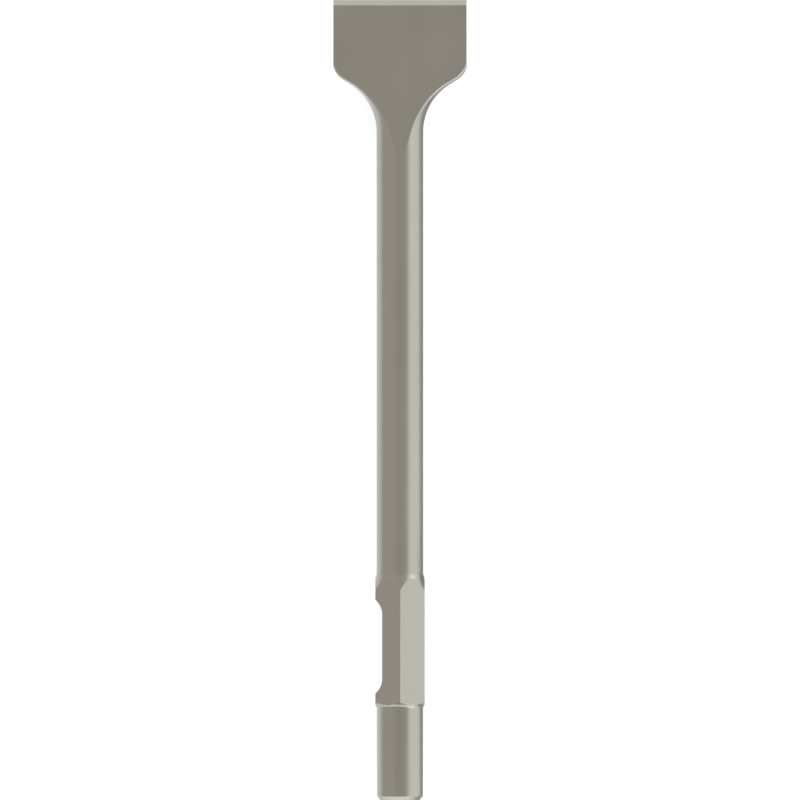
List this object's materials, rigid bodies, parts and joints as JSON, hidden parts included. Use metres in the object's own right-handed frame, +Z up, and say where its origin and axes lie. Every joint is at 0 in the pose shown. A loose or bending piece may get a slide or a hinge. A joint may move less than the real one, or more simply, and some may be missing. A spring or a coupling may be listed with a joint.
{
  "type": "hex shank flat chisel",
  "caption": "Wide flat chisel bit for a breaker hammer: tapered blade with bevelled edge, round shank, hexagonal drive section with a retainer notch, and a round striking tail.",
  "frame": {"origin": "under the middle of the tool's length, on the floor that it lies on", "axes": "+Y from the striking tail towards the cutting edge, +X across the blade away from the retainer notch, +Z up from the floor; the tool's own axis dips 0.63 degrees towards the blade and the blade is rolled 8.5 degrees about it, +X side down, as the tool rests"},
  "size_m": [0.0508, 0.3001, 0.0216],
  "materials": {
    "steel": "satin, warm grey forged and turned tool steel, unworn"
  },
  "bodies": {
    "root": {"chisel": "steel"}
  },
  "joints": []
}
